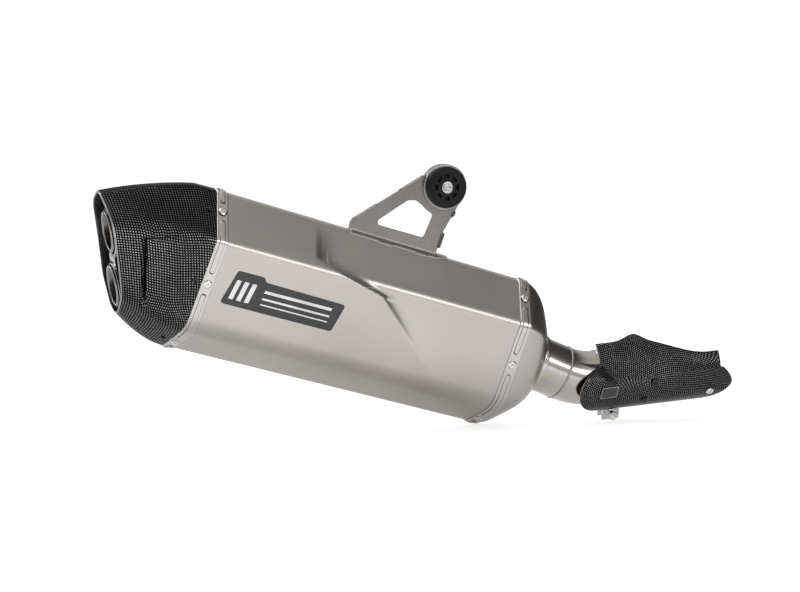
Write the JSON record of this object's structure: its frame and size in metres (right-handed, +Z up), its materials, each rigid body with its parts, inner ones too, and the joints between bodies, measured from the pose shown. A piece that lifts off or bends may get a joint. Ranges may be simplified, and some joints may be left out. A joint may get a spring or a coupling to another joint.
{
  "type": "exhaust muffler",
  "caption": "Slip-on motorcycle muffler: rolled hexagonal canister, carbon end cap with two stacked outlets, rubber-bushed hanger, clamped link pipe and carbon heat shield.",
  "frame": {"origin": "centre of the hanger bolt bore", "axes": "+X forward towards the engine, +Y inboard along the hanger bolt, +Z up, in the installed pose"},
  "size_m": [0.7285, 0.1399, 0.2894],
  "materials": {
    "titanium": "satin, fine blasted titanium sheet",
    "titanium_tube": "polished titanium tube with darker heat tint",
    "weld": "rippled weld bead",
    "stainless": "bright pressed stainless steel",
    "rivet": "bright rivet and screw steel",
    "carbon": "gloss lacquered carbon fibre, small plain weave",
    "black_screw": "black coated steel",
    "outlet_steel": "dark brushed steel",
    "black_plate": "matt black heat-resistant paint",
    "inner_steel": "plain stainless sheet",
    "wool": "glass and basalt wool",
    "rubber": "smooth black rubber",
    "badge": "blank black enamelled plate"
  },
  "bodies": {
    "root": {"outer_sleeve": "titanium", "rear_band": "stainless", "front_band": "stainless", "rear_band_rivets": "rivet", "front_band_rivets": "rivet", "inlet_cap": "titanium", "inlet_collar": "titanium_tube", "inlet_pipe": "titanium_tube", "pipe_weld": "weld", "bend_pipe": "titanium_tube", "link_pipe": "titanium_tube", "end_cap": "carbon", "end_cap_rivets": "black_screw", "rear_bulkhead": "inner_steel", "outlet_plate": "black_plate", "outlet_pipe_upper": "outlet_steel", "outlet_pipe_lower": "outlet_steel", "outlet_trim": "rivet", "outlet_plate_screw": "rivet", "perforated_core": "inner_steel", "inner_baffle": "inner_steel", "front_baffle": "inner_steel", "packing": "wool", "saddle_plate": "stainless", "hanger_bracket": "stainless", "hanger_ring": "stainless", "rubber_bush": "rubber", "heat_shield": "carbon", "shield_bosses": "outlet_steel", "shield_screws": "black_screw", "shield_front_screw": "rivet", "sleeve_badge": "badge", "shield_badge": "badge"},
    "hanger_sleeve": {"hanger_sleeve": "rivet"},
    "clamp": {"clamp_band": "stainless", "clamp_nut": "rivet"},
    "clamp_washer": {"clamp_washer": "rivet"},
    "clamp_screw": {"clamp_screw": "rivet"}
  },
  "joints": [
    {"name": "hanger_sleeve_turn", "type": "hinge", "parent": "root", "child": "hanger_sleeve", "pos_m": [0, 0, 0], "axis": [0, 1, 0], "range_deg": [-8, 8], "stiffness_Nm_per_rad": 2},
    {"name": "clamp_swivel", "type": "hinge", "parent": "root", "child": "clamp", "pos_m": [0.20462, 0.015, -0.21459], "axis": [0.9976, 0, 0.0698], "range_deg": [-6, 40]},
    {"name": "clamp_screw_travel", "type": "slide", "parent": "clamp", "child": "clamp_washer", "axis": [0.0192, -0.9613, -0.275], "range_m": [0, 0.008]},
    {"name": "clamp_screw_turn", "type": "hinge", "parent": "clamp_washer", "child": "clamp_screw", "pos_m": [0.2075, 0.02685, -0.25581], "axis": [0.0192, -0.9613, -0.275], "range_deg": [0, 2900]}
  ],
  "couplings": [
    {"joint": "clamp_screw_turn", "follows": "clamp_screw_travel", "rad_per_m": 6283.2}
  ]
}
